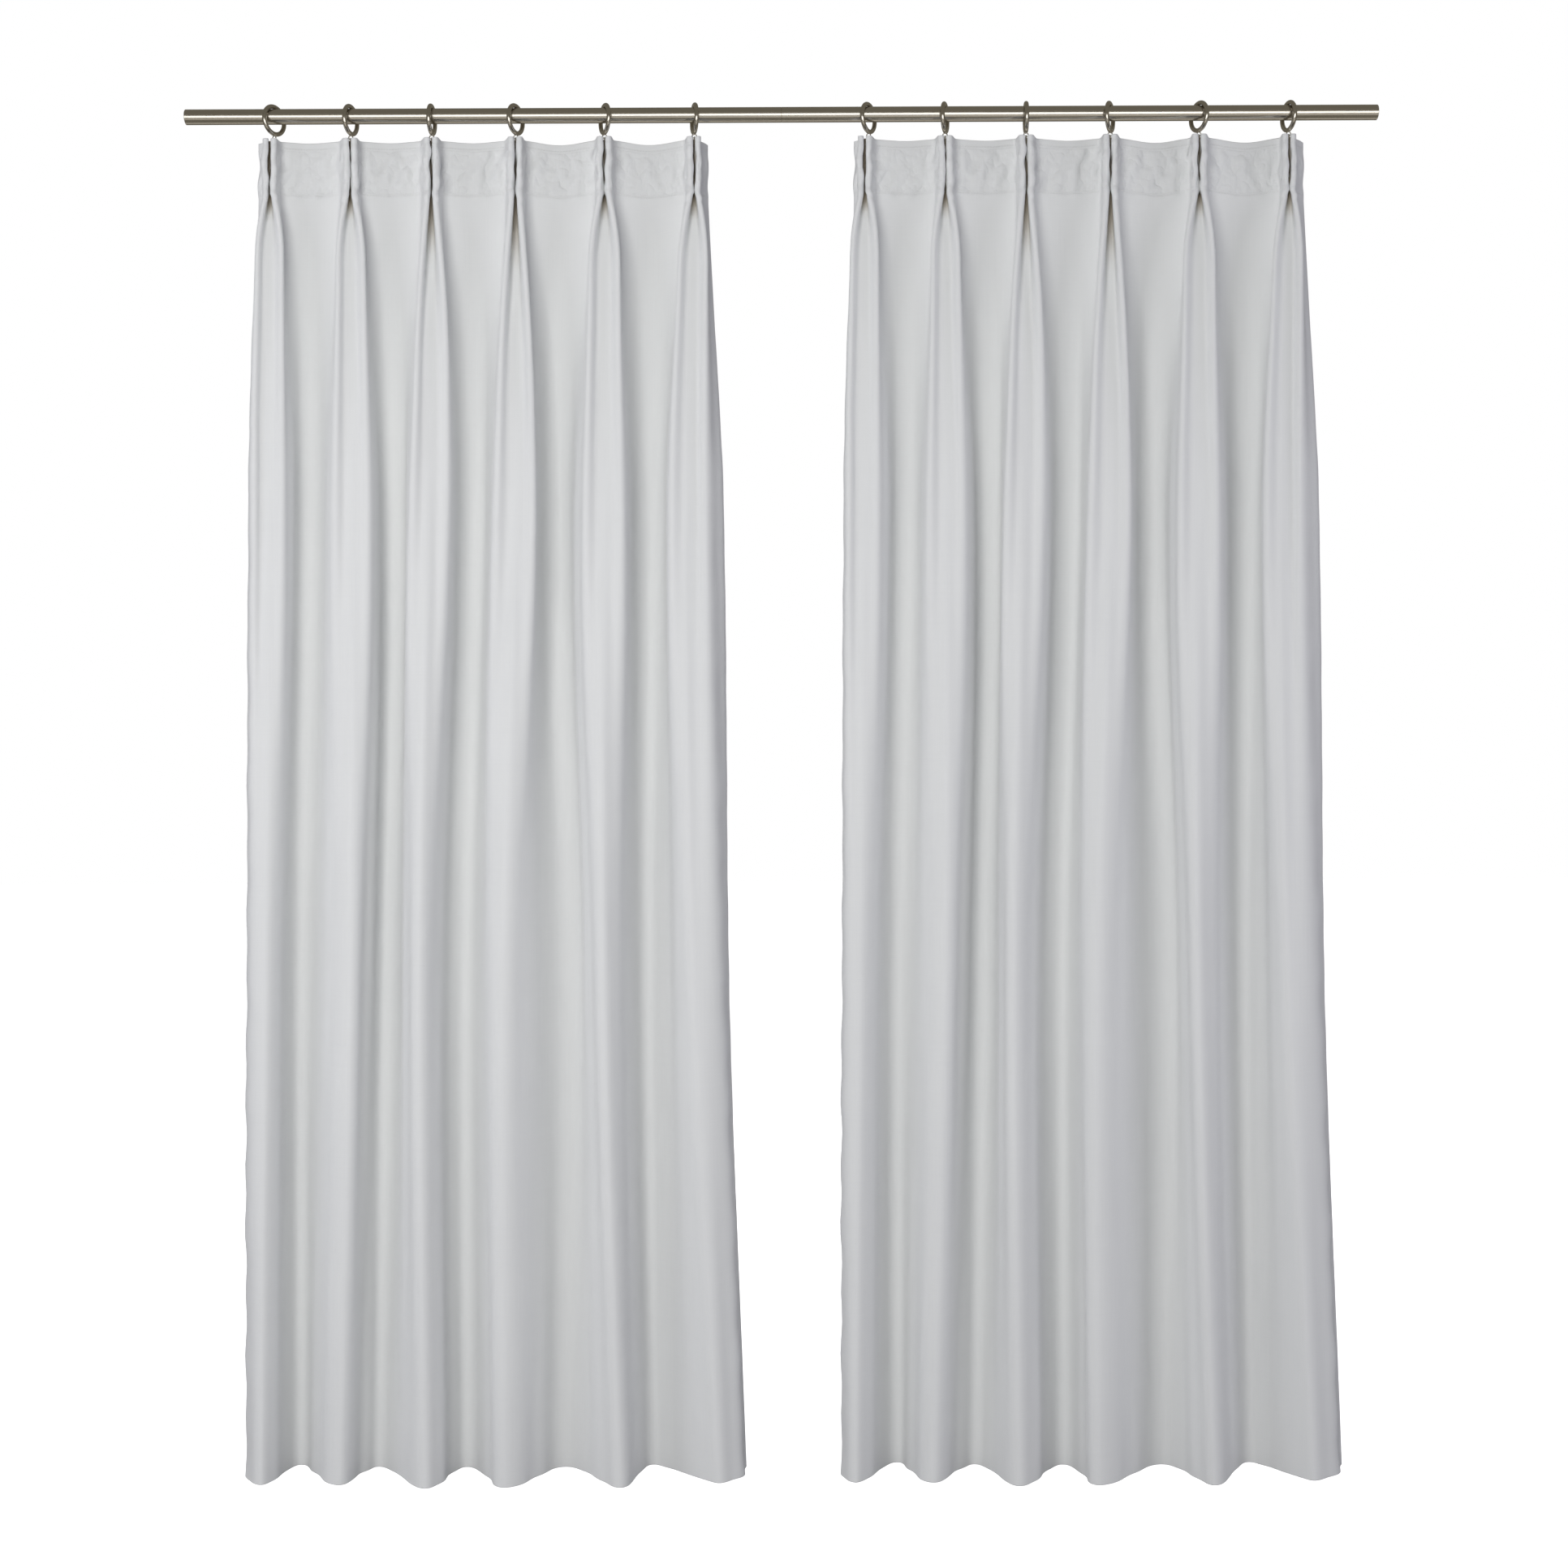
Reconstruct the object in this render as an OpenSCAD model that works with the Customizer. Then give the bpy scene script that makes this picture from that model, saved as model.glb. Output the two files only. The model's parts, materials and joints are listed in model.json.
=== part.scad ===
// Two pinch-pleated window curtains, hung by rings and drapery hooks from a two-piece metal rod.
// X runs along the rod to the right, -Y points into the room and +Z is up.
// The origin is on the rod's axis, at its middle, where the two tubes meet.

/* [Rod] */
// Length of the whole rod, end to end
rod_length = 1908; // [1500:1:2400]
// Outer diameter of the rod's tubes
rod_d = 24; // [19:0.5:32]
// Wall of the tubes
rod_wall = 1.2; // [1:0.1:2]
// How deep the socket for a finial goes into each end
socket_depth = 30; // [20:1:60]
// How much the socket widens the tube's bore, on the radius
socket_step = 0.2; // [0.2:0.05:0.4]
// Length of the joining tube inside the rod
joiner_length = 160; // [100:1:300]
// Wall of the joining tube
joiner_wall = 1.5; // [1:0.1:3]

/* [Rings] */
// How much wider a ring's hole is than the rod
ring_play = 12; // [9:0.5:20]
// Thickness of a ring's wire
ring_wire = 7; // [5:0.5:9]
// Wire of the eyelet under each ring
eyelet_wire = 1.8; // [1.6:0.1:2.2]
// Hole of the eyelet
eyelet_hole = 5; // [4.6:0.1:7]
// Distance from the outermost ring to the rod's end
end_gap = 141.5; // [60:0.5:200]
// Distance between the two curtains' innermost rings
middle_gap = 279; // [240:1:400]

/* [Curtains] */
// Finished length of a curtain, from its top edge to its hem
drop = 2134; // [1200:1:2600]
// Distance from the rod's axis down to the top edge
top_gap = 41.5; // [40:0.5:60]
// Thickness of the cloth
cloth_t = 1.5; // [1:0.1:2.5]
// Height of the stiffened heading
heading_h = 88; // [70:1:120]
// How far a pleat stands forward
pleat_depth = 26; // [18:1:34]
// Width of a pleat across its front
pleat_w = 24; // [18:1:30]
// Depth of the folds at the hem, from front to back
hem_fold = 110; // [60:1:140]
// Depth of the folds below the heading, from front to back
upper_fold = 70; // [40:1:100]
// Thickness of the stiffener in the heading
buckram_t = 1; // [0.6:0.1:1.5]

/* [Hooks] */
// Wire of a drapery hook
hook_wire = 1.6; // [1.2:0.1:1.6]
// Length of a hook's shank below the eyelet
hook_shank = 58; // [45:1:64]
// Length of a hook's pin
hook_pin = 40; // [25:1:45]

/* [Clearances] */
// Gap between pieces that move on each other
gap = 0.3; // [0.2:0.05:0.5]
// Gap between pieces that are pushed together
push_gap = 0.05; // [0.02:0.01:0.1]

/* [Hidden] */
rings = 6;
sides = ["left", "right"];
function side_nodes(tail) = [for (s = sides) str(s, tail)];
function numbered_nodes(what) = [for (s = sides) for (k = [1:rings]) str(s, "_", what, "_", k)];

steel = [0.62, 0.6, 0.57];
dark_steel = [0.45, 0.44, 0.42];
cloth_grey = [0.84, 0.85, 0.85];
buckram_white = [0.93, 0.92, 0.88];

// Rod
rod_r = rod_d / 2;
bore_r = rod_r - rod_wall;
socket_r = bore_r + socket_step;
end_chamfer = 0.4;
joiner_r = bore_r - push_gap;

// Rings hang on the rod, so a ring's centre is below the rod's axis
ring_hole_r = (rod_d + ring_play) / 2;
ring_r = ring_hole_r + ring_wire / 2;
ring_z = -(ring_hole_r - rod_r - gap);
// The turn at which a hanging ring's wire would just touch the side of the rod
ring_max_turn = asin(sqrt(-ring_z / ring_r));
// How each ring hangs, as a share of that turn, positive with its front to the right
ring_turn = [-0.97, -0.48, -0.1, -0.74, 0.74, 0.4];

// Places of the rings along the rod
ring_span = (rod_length - middle_gap - 2 * end_gap) / 2;
ring_pitch = ring_span / (rings - 1);
curtain_pitch = ring_span + middle_gap;
first_ring_x = end_gap - rod_length / 2;
// How far each ring has slipped from even spacing, as a share of the pitch
ring_slip = [0, -0.09, -0.126, -0.126, -0.067, 0];
ring_x = [for (k = [0:rings - 1]) first_ring_x + ring_pitch * (k + ring_slip[k])];

// Eyelet under each ring
eyelet_r = (eyelet_hole + eyelet_wire) / 2;
eyelet_sink = eyelet_wire * 0.8;
eyelet_z = -ring_r - ring_wire / 2 + eyelet_sink - eyelet_wire / 2 - eyelet_r;
eyelet_seat_z = ring_z + eyelet_z - eyelet_r;

// Hooks
crook_r = eyelet_wire / 2 + gap + hook_wire / 2 + 0.2;
crook_tail = 2.5;
hook_bend_r = 5.5;

// Heading: columns of the cloth counted from a pleat's middle, eight to a pitch
columns = 8;
flap_columns = 3;
heading_y = -4;
fold_y = -8;
pleat_base = pleat_w + 6;
heading_flap = 8;
hem_flap_left = 27;
hem_flap_right = 53;
// How far the crest under each pleat has drifted at the hem, as a share of the pitch
hem_drift = [-0.21, -0.185, -0.145, -0.18, 0.115, 0.215];
hem_x = [for (k = [0:rings - 1]) ring_x[k] + ring_pitch * hem_drift[k]];
// Heights of the cloth's rows below its top edge, as shares of the drop below the heading
row_shares = [0, 0.08, 0.25, 0.6, 1];
rows = concat([0], [for (s = row_shares) heading_h + s * (drop - heading_h)]);
// Share of the drop over which a pleat opens into a soft fold
pleat_fade = 0.25;
buckram_inset = 3;
first_column = -flap_columns;
last_column = columns * (rings - 1) + flap_columns;

function mix(a, b, t) = a + (b - a) * t;
function unit(v) = v / norm(v);
function reversed(list) = [for (j = [len(list) - 1:-1:0]) list[j]];
function below(d) = max(0, (d - heading_h) / (drop - heading_h));
function opened(d) = min(1, below(d) / pleat_fade);

// Place of a column across the pleated heading
function pleat_offset(c) = [0, pleat_w / 2, pleat_base / 2][c];
function heading_x(i) =
    i < -2 ? ring_x[0] - pleat_base / 2 - heading_flap :
    i > last_column - 1 ? ring_x[rings - 1] + pleat_base / 2 + heading_flap :
    let (k = min(rings - 1, max(0, round(i / columns))), c = i - k * columns)
    abs(c) < 3 ? ring_x[k] + sign(c) * pleat_offset(abs(c)) :
    let (a = floor(i / columns), t = (i - a * columns - 2) / (columns - 4))
    mix(ring_x[a] + pleat_base / 2, ring_x[a + 1] - pleat_base / 2, t);

function heading_fold(i) =
    let (k = min(rings - 1, max(0, round(i / columns))))
    abs(i - k * columns) < 2 ? heading_y - pleat_depth : heading_y;

// Place of a column where the folds hang free, with the crests at the places xs
function free_x(i, xs) =
    i < 0 ? xs[0] + hem_flap_left * i / flap_columns :
    i > columns * (rings - 1) ?
        xs[rings - 1] + hem_flap_right * (i - columns * (rings - 1)) / flap_columns :
    let (a = min(rings - 2, floor(i / columns)), t = i / columns - a)
    mix(xs[a], xs[a + 1], t);

function cloth_point(i, d) =
    let (
        s = below(d),
        xs = [for (k = [0:rings - 1]) mix(ring_x[k], hem_x[k], s)],
        wave = fold_y - mix(upper_fold, hem_fold, s) / 2 * cos(360 * i / columns)
    )
    [
        mix(heading_x(i), free_x(i, xs), opened(d)),
        mix(heading_fold(i), wave, opened(d))
    ];

function cloth_path(d) = [for (i = [first_column:last_column]) cloth_point(i, d)];

// Moves a path sideways by t, keeping its distance at the corners
function normals(p) =
    [for (j = [0:len(p) - 2]) let (v = unit(p[j + 1] - p[j])) [-v[1], v[0]]];
function side_path(p, t) =
    let (n = normals(p), last = len(p) - 1)
    [for (j = [0:last])
        let (a = n[max(0, j - 1)], b = n[min(last - 1, j)])
        p[j] + t * (a + b) / (1 + a * b)];

// Rod
module rod_tube(side) {
    end_x = side * rod_length / 2;
    color(steel)
    rotate([0, side * 90, 0])
    difference() {
        union() {
            cylinder(h = end_chamfer, r1 = rod_r - end_chamfer, r2 = rod_r, $fn = 96);
            translate([0, 0, end_chamfer])
                cylinder(h = abs(end_x) - 2 * end_chamfer, r = rod_r, $fn = 96);
            translate([0, 0, abs(end_x) - end_chamfer])
                cylinder(h = end_chamfer, r1 = rod_r, r2 = rod_r - end_chamfer, $fn = 96);
        }
        translate([0, 0, -1])
            cylinder(h = abs(end_x) + 2, r = bore_r, $fn = 96);
        translate([0, 0, abs(end_x) - socket_depth])
            cylinder(h = socket_depth + 1, r = socket_r, $fn = 96);
    }
}

module rod_joiner() {
    color(dark_steel)
    rotate([0, 90, 0])
    difference() {
        cylinder(h = joiner_length, r = joiner_r, center = true, $fn = 96);
        cylinder(h = joiner_length + 2, r = joiner_r - joiner_wall, center = true, $fn = 96);
    }
}

// A ring of round wire in the Y-Z plane, turned about Z, with its eyelet facing the room
module ring(x, turn) {
    color(steel)
    translate([x, 0, ring_z])
    rotate([0, 0, turn]) {
        rotate([0, 90, 0])
            rotate_extrude($fn = 96)
                translate([ring_r, 0]) circle(r = ring_wire / 2, $fn = 32);
        translate([0, 0, eyelet_z])
            rotate([90, 0, 0])
                rotate_extrude($fn = 48)
                    translate([eyelet_r, 0]) circle(r = eyelet_wire / 2, $fn = 24);
    }
}

// A half turn of wire in the Y-Z plane, open downwards
module wire_bend(r, wire) {
    rotate([90, 0, 90])
        rotate_extrude(angle = 180, $fn = 64)
            translate([r, 0]) circle(r = wire / 2, $fn = 24);
}

module wire_rod(y, z_low, z_high, wire) {
    translate([0, y, z_low])
        cylinder(h = z_high - z_low, r = wire / 2, $fn = 24);
}

// A pin-on drapery hook: crook over the eyelet, shank behind the pleat, pin up inside it
module hook(x) {
    bend_z = eyelet_seat_z - hook_shank;
    pin_y = crook_r - 2 * hook_bend_r;
    color(dark_steel)
    translate([x, 0, 0]) {
        translate([0, 0, eyelet_seat_z]) wire_bend(crook_r, hook_wire);
        wire_rod(-crook_r, eyelet_seat_z - crook_tail, eyelet_seat_z, hook_wire);
        wire_rod(crook_r, bend_z, eyelet_seat_z, hook_wire);
        translate([0, crook_r - hook_bend_r, bend_z])
            mirror([0, 0, 1]) wire_bend(hook_bend_r, hook_wire);
        wire_rod(pin_y, bend_z, bend_z + hook_pin - hook_wire, hook_wire);
        translate([0, pin_y, bend_z + hook_pin - hook_wire])
            cylinder(h = hook_wire, r1 = hook_wire / 2, r2 = hook_wire / 6, $fn = 24);
    }
}

// The stiffener follows the pleated cloth just behind it
module heading_buckram(x) {
    front_t = cloth_t / 2 + gap;
    whole = cloth_path(0);
    path = [for (j = [1:len(whole) - 2]) whole[j]];
    color(buckram_white)
    translate([x, 0, -top_gap - heading_h + buckram_inset])
        linear_extrude(height = heading_h - 2 * buckram_inset)
            polygon(concat(
                side_path(path, front_t),
                reversed(side_path(path, front_t + buckram_t))
            ));
}

// One closed sheet: a row of points in front and a row behind at each height
module curtain_cloth(x) {
    n = last_column - first_column + 1;
    last = len(rows) - 1;
    points = [for (d = rows)
        let (path = cloth_path(d))
        for (t = [-cloth_t / 2, cloth_t / 2])
        for (p = side_path(path, t)) [p[0], p[1], -top_gap - d]];
    function at(r, j, back) = (2 * r + back) * n + j;
    function pair(a, b, c, d) = [[a, b, c], [a, c, d]];
    faces = [for (strip = concat(
        [for (r = [0:last - 1], j = [0:n - 2])
            pair(at(r, j, 0), at(r, j + 1, 0), at(r + 1, j + 1, 0), at(r + 1, j, 0))],
        [for (r = [0:last - 1], j = [0:n - 2])
            pair(at(r, j, 1), at(r + 1, j, 1), at(r + 1, j + 1, 1), at(r, j + 1, 1))],
        [for (r = [0:last - 1])
            pair(at(r, 0, 1), at(r, 0, 0), at(r + 1, 0, 0), at(r + 1, 0, 1))],
        [for (r = [0:last - 1])
            pair(at(r, n - 1, 0), at(r, n - 1, 1), at(r + 1, n - 1, 1), at(r + 1, n - 1, 0))],
        [for (j = [0:n - 2])
            pair(at(0, j, 1), at(0, j + 1, 1), at(0, j + 1, 0), at(0, j, 0))],
        [for (j = [0:n - 2])
            pair(at(last, j, 0), at(last, j + 1, 0), at(last, j + 1, 1), at(last, j, 1))]
    )) each strip];
    color(cloth_grey)
    translate([x, 0, 0])
        polyhedron(points = points, faces = faces, convexity = 12);
}

rod_tube(-1);  // rod_tube_left
rod_tube(1);  // rod_tube_right
rod_joiner();
for (s = [0, 1], k = [0:rings - 1]) {
    side_x = s * curtain_pitch;
    number = str(k + 1);
    ring(ring_x[k] + side_x, ring_turn[k] * ring_max_turn);
    hook(ring_x[k] + side_x);
}
for (s = [0, 1]) {
    heading_buckram(s * curtain_pitch);
    curtain_cloth(s * curtain_pitch);
}
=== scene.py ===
# %% [markdown]
# # Window curtains on a rod
# Two pinch-pleated curtains hang by drapery hooks from metal rings, and the rings slide on a
# round rod made of two tubes. The rod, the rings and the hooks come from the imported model, and
# only need their finish. The cloth, its stiffened heading, its hems and its stitches are made here.

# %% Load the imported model
import json
import math

import bmesh
import bpy
import numpy as np
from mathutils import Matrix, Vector


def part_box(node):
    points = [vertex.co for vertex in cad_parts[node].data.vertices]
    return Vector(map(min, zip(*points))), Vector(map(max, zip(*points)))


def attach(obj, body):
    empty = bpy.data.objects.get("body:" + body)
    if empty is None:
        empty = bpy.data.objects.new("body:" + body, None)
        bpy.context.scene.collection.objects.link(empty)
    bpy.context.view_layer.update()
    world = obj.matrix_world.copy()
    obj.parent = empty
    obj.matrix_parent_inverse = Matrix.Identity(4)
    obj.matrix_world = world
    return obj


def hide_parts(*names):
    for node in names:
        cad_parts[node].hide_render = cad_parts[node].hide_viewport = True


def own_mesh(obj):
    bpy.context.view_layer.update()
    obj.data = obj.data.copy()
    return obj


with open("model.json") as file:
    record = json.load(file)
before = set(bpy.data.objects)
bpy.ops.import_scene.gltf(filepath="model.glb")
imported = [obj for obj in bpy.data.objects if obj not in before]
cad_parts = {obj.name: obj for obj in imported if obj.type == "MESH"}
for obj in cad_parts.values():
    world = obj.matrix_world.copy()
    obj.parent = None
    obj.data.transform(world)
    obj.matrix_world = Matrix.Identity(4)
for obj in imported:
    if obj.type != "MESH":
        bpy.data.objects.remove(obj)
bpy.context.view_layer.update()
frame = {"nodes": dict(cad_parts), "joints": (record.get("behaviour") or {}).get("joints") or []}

# %% [markdown]
# ## The camera
# A level camera stands in the room at about half the curtains' height. It looks up at the rod and
# down at the hem, which is why the hem's folds show as a wave. It leans by a quarter of a degree,
# as a camera held in the hand does.

# %% Camera
PICTURE_WIDTH = 2.512
PICTURE_MIDDLE_Z = -1.072
CAMERA_DISTANCE = 3.0
CAMERA_Z = -1.0
CAMERA_ROLL = 0.24

camera_data = bpy.data.cameras.new("camera")
camera_data.sensor_width = 36
camera_data.lens = camera_data.sensor_width * CAMERA_DISTANCE / PICTURE_WIDTH
camera_data.shift_y = (PICTURE_MIDDLE_Z - CAMERA_Z) / PICTURE_WIDTH
camera = bpy.data.objects.new("camera", camera_data)
camera.location = (0, -CAMERA_DISTANCE, CAMERA_Z)
camera.rotation_euler = (math.radians(90), math.radians(CAMERA_ROLL), 0)
bpy.context.scene.collection.objects.link(camera)
bpy.context.scene.camera = camera
print("lens:", round(camera_data.lens, 1), "mm")

# %% [markdown]
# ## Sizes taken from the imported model
# Every pleat stands under a ring, so the rings' places set out the whole curtain. The cloth's box
# gives the top edge and the hem, and the stiffener's box gives the heading.

# %% Sizes from the model
SIDES = ("left", "right")
PLEATS = 6
PLEAT_NUMBERS = range(1, PLEATS + 1)


def middle(node):
    low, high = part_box(node)
    return (low + high) / 2


ring_x = {
    side: np.array([middle(f"{side}_ring_{k}").x for k in PLEAT_NUMBERS])
    for side in SIDES
}
cloth_low, cloth_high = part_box("left_curtain_cloth")
top_z = cloth_high.z
drop = cloth_high.z - cloth_low.z
buckram_low, buckram_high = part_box("left_heading_buckram")
buckram_inset = top_z - buckram_high.z
heading = top_z - buckram_low.z + buckram_inset
# The outermost pleat hangs a little to the outside of its ring.
PLEAT_ASIDE = np.array([-0.006, 0, 0, 0, 0, 0])
pleat_x = {side: ring_x[side] + PLEAT_ASIDE for side in SIDES}
print("drop", round(drop, 3), "heading", round(heading, 3), "pitch", np.diff(ring_x["left"]).round(3))

# %% [markdown]
# ## How a pleated curtain hangs
# Cloth bends easily but hardly stretches, so a level slice through a curtain is a line of one
# fixed length at every height. The way used here keeps that length by building the slice from its
# direction: at each point along the flat width there is an angle, and walking along those
# angles draws the slice. At the heading the angles fold six tight two-finger pleats. Lower down the
# pleats' angles fade, and one long wave takes up the width that they let go. Its strength is solved
# at every height, so that each fold comes out over its own place.

# %% Shape of a pleat
PLEAT_TAKE = np.array([0.118, 0.122, 0.132, 0.138, 0.138, 0.126])
PLEAT_HALF = PLEAT_TAKE / 2
INNER_SHARE = 0.45
PINCH = math.radians(91)
SLIT = 0.0040
WALL_BEND = 0.003
FINGER_TIP = 0.018
RIDGE_SHARPER = 0.005
FADED_ROUNDER = 0.024
BASE_BEND = 0.010
BASE_LOOSER = 0.03
SPREAD_DEPTH = 0.5
RIDGES_HOLD = 0.35
RIDGES_FADE = 1.0
STEP = 0.0005


def ease(x, width):
    """0 before x = 0 and 1 after it, turning smoothly over width."""
    t = np.clip(x / width + 0.5, 0, 1)
    return t * t * (3 - 2 * t)


def rise(x):
    """0 up to x = 0 and 1 from x = 1, turning smoothly between."""
    return ease(x - 0.5, 1)


def pleat_turn(t, half, below, opening, tightness):
    """Direction of the cloth round a two-finger pleat, t from its middle: -1 forward, 1 back.

    Below the heading the slit between the fingers opens to a flat floor over the depth called
    opening, the fingers turn into two narrow ridges, and the ridges fade further down.
    """
    inner = INNER_SHARE * half
    opened = rise(below / opening) ** 0.6
    spread = rise(below / SPREAD_DEPTH)
    faded = 1 - rise((below - RIDGES_HOLD) / RIDGES_FADE)
    finger = (1 - 0.32 * opened - 0.1 * spread) * faded
    lean = tightness * (1 - spread)
    floor = SLIT / 2 + inner * (0.26 * opened + 0.14 * spread)
    bend = WALL_BEND + WALL_BEND * opened + FADED_ROUNDER * (1 - faded)
    tip = FINGER_TIP - RIDGE_SHARPER * opened + FADED_ROUNDER * (1 - faded)
    base = BASE_BEND + BASE_LOOSER * rise(below / 0.4)
    away = np.abs(t)
    wall = ease(away - floor, bend) - ease(-away - floor, bend)
    turn = (
        -finger * wall
        + (finger + lean) * ease(away - inner, tip)
        - lean * ease(away - half, base)
    )
    return np.sign(t) * turn


PLEAT_GAP = 0.036
GAP_MARGIN = 0.003


def pleat_gap(half, tightness):
    """Width left between the two ends of a closed pleat."""
    t = np.arange(-half - GAP_MARGIN, half + GAP_MARGIN, STEP)
    turn = pleat_turn(t, half, 0.0, 1.0, tightness)
    return float(np.sum(np.cos(PINCH * turn)) * STEP) - 2 * GAP_MARGIN


def tight_enough(half):
    """How far the fingers' outer walls lean out, so that the pleat's base closes to its gap."""
    loose, tight = 0.5, 1.8
    for _ in range(20):
        tried = (loose + tight) / 2
        if pleat_gap(half, tried) > PLEAT_GAP:
            loose = tried
        else:
            tight = tried
    return tried


tightness = np.array([tight_enough(half) for half in PLEAT_HALF])
print("lean of the outer walls:", tightness.round(2), "of a right angle")

# %% Flat width of one curtain
LEFT_FLAP = 0.016
RIGHT_FLAP = 0.032
SPAN_SLACK = np.array([0.018, 0.018, 0.022, 0.045, 0.050])


def flat_marks(rings):
    """Places along the flat width: left edge, pleat, span's middle, pleat, ... right edge."""
    spans = (np.diff(rings) - PLEAT_GAP) * (1 + SPAN_SLACK)
    marks = [0, LEFT_FLAP + PLEAT_HALF[0]]
    for k, span in enumerate(spans):
        hollow = marks[-1] + PLEAT_HALF[k] + span / 2
        marks += [hollow, hollow + span / 2 + PLEAT_HALF[k + 1]]
    marks.append(marks[-1] + PLEAT_HALF[-1] + RIGHT_FLAP)
    return np.round(np.array(marks) / STEP) * STEP


marks = flat_marks(pleat_x["left"])
flat_width = float(marks[-1])
print("flat width:", round(flat_width, 3), "m, against", round(float(np.ptp(ring_x["left"])), 3))

# %% [markdown]
# ## Where the folds hang
# A real curtain's folds wander a little on their way down. Each crest and each hollow has a place
# at the heading, which the rings set, and a drift in millimetres at three depths below it.

# %% Drift of the folds
DEPTHS = np.array([0, 0.22, 0.6, 1])
CREST_DRIFT = np.array([
    [0, 0, 0, 0, 0, 0],
    [-6, 0, -5, -2, -4, -10],
    [-14, -6, -25, -23, -5, -4],
    [-22, -25, -20, -24, 15, 29],
])
HOLLOW_DRIFT = np.array([
    [0, 0, 0, 0, 0],
    [0, 6, 2, -13, 0],
    [-15, -10, -20, 8, -5],
    [-20, -26, -19, 2, 3],
])
EDGE_DRIFT = np.array([[0, 0], [-10, 20], [-17, 27], [-24, 53]])
LEFT_EDGE_OUT = 0.0175
RIGHT_EDGE_OUT = 0.0215
MILLIMETRE = 0.001


def through(values, depth):
    """A smooth curve through values at DEPTHS."""
    slopes = np.gradient(values.astype(float), DEPTHS, axis=0)
    k = np.clip(np.searchsorted(DEPTHS, depth, side="right") - 1, 0, len(DEPTHS) - 2)
    h = (DEPTHS[k + 1] - DEPTHS[k])[:, None]
    t = ((depth - DEPTHS[k])[:, None]) / h
    return (
        (2 * t**3 - 3 * t**2 + 1) * values[k]
        + (t**3 - 2 * t**2 + t) * h * slopes[k]
        + (3 * t**2 - 2 * t**3) * values[k + 1]
        + (t**3 - t**2) * h * slopes[k + 1]
    )


def fold_places(rings, depth):
    """Where each mark hangs along the rod, one row for each depth."""
    crests = rings + through(CREST_DRIFT, depth) * MILLIMETRE
    hollows = (rings[1:] + rings[:-1]) / 2 + through(HOLLOW_DRIFT, depth) * MILLIMETRE
    edges = through(EDGE_DRIFT, depth) * MILLIMETRE
    places = np.empty((len(depth), 2 * PLEATS + 1))
    places[:, 0] = rings[0] - LEFT_EDGE_OUT + edges[:, 0]
    places[:, 1:-1:2] = crests
    places[:, 2:-2:2] = hollows
    places[:, -1] = rings[-1] + RIGHT_EDGE_OUT + edges[:, 1]
    return places


# %% [markdown]
# ## The slice at each height
# The wave is a hump of angle between each crest and hollow. Its strength comes from halving an
# interval: too weak and the cloth reaches too far, too strong and it falls short. Gentle seeded
# waviness keeps one fold from being the copy of the next.

# %% Angles of the cloth
OPENINGS = (0.10, 0.11, 0.28, 0.34, 0.12, 0.12)
STRONGEST_WAVE = 2.3
HALVINGS = 24
FLAP_CURL = 1.4
HEM_FLAP_CURL = 0.5
RIDGES_STIFF = 0.15
RIDGES_GIVE = 0.9
# Seed, number of waves, radians a metre across and down, and size in radians.
WAVINESS = ((3, 8, (15, 50), 3, 0.075), (8, 12, (70, 190), 3.5, 0.10))


def heights_below(rows):
    return np.clip((rows - heading) / (drop - heading), 0, 1)


def wave_share(flat, rows):
    """The hump between each pair of marks, negative on the way forward to a crest.

    At the two ends the angle grows out to the edge, which curls the edge back. High up the hump
    stays off the ridges, so that they keep their shape.
    """
    softness = (1.0 - 0.75 * rise(heights_below(rows) * 1.6))[:, None]
    kept = (1 - rise((rows - heading - RIDGES_STIFF) / RIDGES_GIVE))[:, None]
    towards_hem = rise((heights_below(rows) - 0.4) / 0.6)[:, None]
    curl = FLAP_CURL + (HEM_FLAP_CURL - FLAP_CURL) * towards_hem
    hump = np.zeros((len(rows), len(flat)))
    for i in range(len(marks) - 1):
        inside = (flat >= marks[i]) & (flat <= marks[i + 1])
        t = (flat[inside] - marks[i]) / (marks[i + 1] - marks[i])
        sign = 1 if i % 2 else -1
        if i in (0, len(marks) - 2):
            outward = (t if i else 1 - t)[None, :]
            hump[:, inside] = sign * np.clip(outward, 0, 1) ** curl
            continue
        swell = np.sin(np.pi * t)[None, :]
        hump[:, inside] = sign * swell * np.sqrt((1 + softness) / (swell**2 + softness))
    for k in range(PLEATS):
        inner = INNER_SHARE * PLEAT_HALF[k]
        beyond = rise((np.abs(flat - marks[2 * k + 1]) - 0.7 * inner) / (0.8 * inner))
        hump *= 1 - kept * (1 - beyond[None, :])
    return hump


def wobble(flat, rows, seed, count, across, down, size):
    """Smooth waviness of the angle, growing below the heading."""
    draw = np.random.default_rng(seed)
    total = np.zeros((len(rows), len(flat)))
    for _ in range(count):
        turns = draw.uniform(*across) * flat[None, :] + draw.uniform(-down, down) * rows[:, None]
        total += np.sin(turns + draw.uniform(0, 2 * np.pi))
    grown = rise((rows - heading) / 0.4)[:, None]
    return size * grown * total / math.sqrt(count / 2)


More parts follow.
